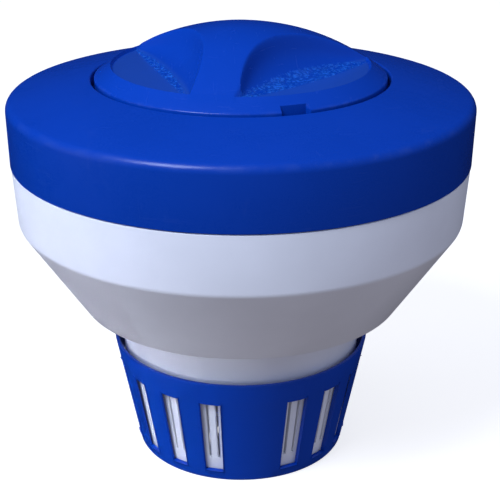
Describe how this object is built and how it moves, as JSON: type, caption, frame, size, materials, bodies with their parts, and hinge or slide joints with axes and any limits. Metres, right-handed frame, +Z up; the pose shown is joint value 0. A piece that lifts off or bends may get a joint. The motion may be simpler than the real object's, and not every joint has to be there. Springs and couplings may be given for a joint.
{
  "type": "floating chlorine dispenser",
  "caption": "Round pool float with a tablet canister through its middle, a twist-off lid with a three-armed grip and a windowed flow sleeve that turns to open or close the slits.",
  "frame": {"origin": "centre of the flow sleeve's foot, on the surface that the dispenser stands on", "axes": "+Z up along the axis that the lid and the sleeve turn about; -Y is the front, which the solid window station faces"},
  "size_m": [0.19, 0.19, 0.1836],
  "materials": {
    "lid_blue": "satin-gloss injection-moulded blue plastic",
    "float_blue": "satin-gloss injection-moulded blue plastic",
    "sleeve_blue": "satin injection-moulded blue plastic",
    "float_white": "satin injection-moulded white plastic",
    "canister_white": "satin injection-moulded white plastic",
    "seal_rubber": "matt black moulded rubber",
    "buoyancy_foam": "white closed-cell foam with a fine bead texture",
    "screw_steel": "plain stainless steel"
  },
  "bodies": {
    "float": {"float_collar": "float_blue", "float_bowl": "float_white", "tablet_canister": "canister_white", "canister_floor": "canister_white", "sleeve_retaining_ring": "canister_white", "seam_o_ring": "seal_rubber", "neck_o_ring": "seal_rubber", "flange_gasket": "seal_rubber", "foam_ring_upper": "buoyancy_foam", "foam_ring_lower": "buoyancy_foam", "flange_screw_1": "screw_steel", "flange_screw_2": "screw_steel", "flange_screw_3": "screw_steel", "flange_screw_4": "screw_steel", "flange_screw_5": "screw_steel", "flange_screw_6": "screw_steel"},
    "lid_seal": {"lid_gasket": "seal_rubber"},
    "lid": {"lid": "lid_blue"},
    "sleeve": {"flow_sleeve": "sleeve_blue"}
  },
  "joints": [
    {"name": "lid_lift", "type": "slide", "parent": "float", "child": "lid_seal", "axis": [0, 0, 1], "range_m": [0, 0.048]},
    {"name": "lid_turn", "type": "hinge", "parent": "lid_seal", "child": "lid", "pos_m": [0, 0, 0.158], "axis": [0, 0, 1], "range_deg": [0, 360]},
    {"name": "sleeve_turn", "type": "hinge", "parent": "float", "child": "sleeve", "pos_m": [0, 0, 0], "axis": [0, 0, 1], "range_deg": [0, 10]}
  ],
  "couplings": [
    {"joint": "lid_lift", "follows": "lid_turn", "m_per_rad": 0.0076394}
  ]
}
